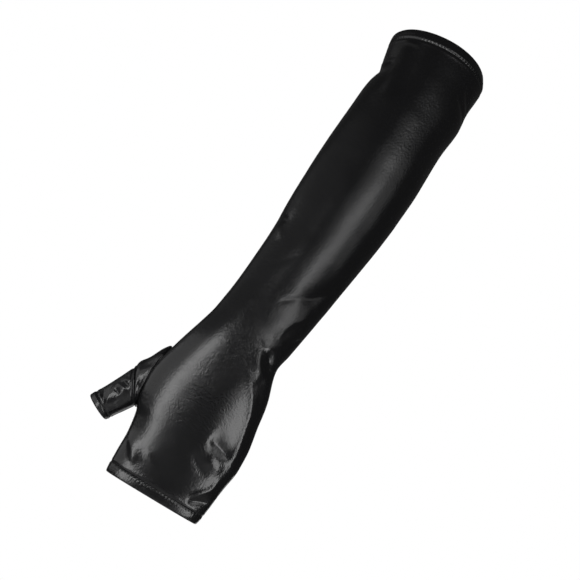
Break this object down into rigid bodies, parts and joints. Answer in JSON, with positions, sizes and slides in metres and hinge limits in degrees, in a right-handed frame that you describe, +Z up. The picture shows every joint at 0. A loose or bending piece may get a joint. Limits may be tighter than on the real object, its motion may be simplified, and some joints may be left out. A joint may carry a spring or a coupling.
{
  "type": "evening mitten",
  "caption": "Long fingerless evening mitten for the left arm in black coated stretch cloth, with an open thumb stall on a gusset.",
  "frame": {"origin": "middle of the arm opening, where the mitten sits on the forearm", "axes": "+Z up the arm, the fingers towards -Z; the back of the hand faces -Y and the palm +Y; the thumb is on the -X side"},
  "size_m": [0.1227, 0.0746, 0.4084],
  "materials": {
    "coated_cloth": "black stretch knit with a smooth wet-look coating, soft gloss with a fine woven grain",
    "sewing_thread": "black polyester sewing thread, matt"
  },
  "bodies": {
    "root": {"sleeve": "coated_cloth", "thumb_gusset": "coated_cloth", "thumb_stall": "coated_cloth", "arm_hem": "coated_cloth", "finger_hem": "coated_cloth", "thumb_hem": "coated_cloth"}
  },
  "joints": []
}
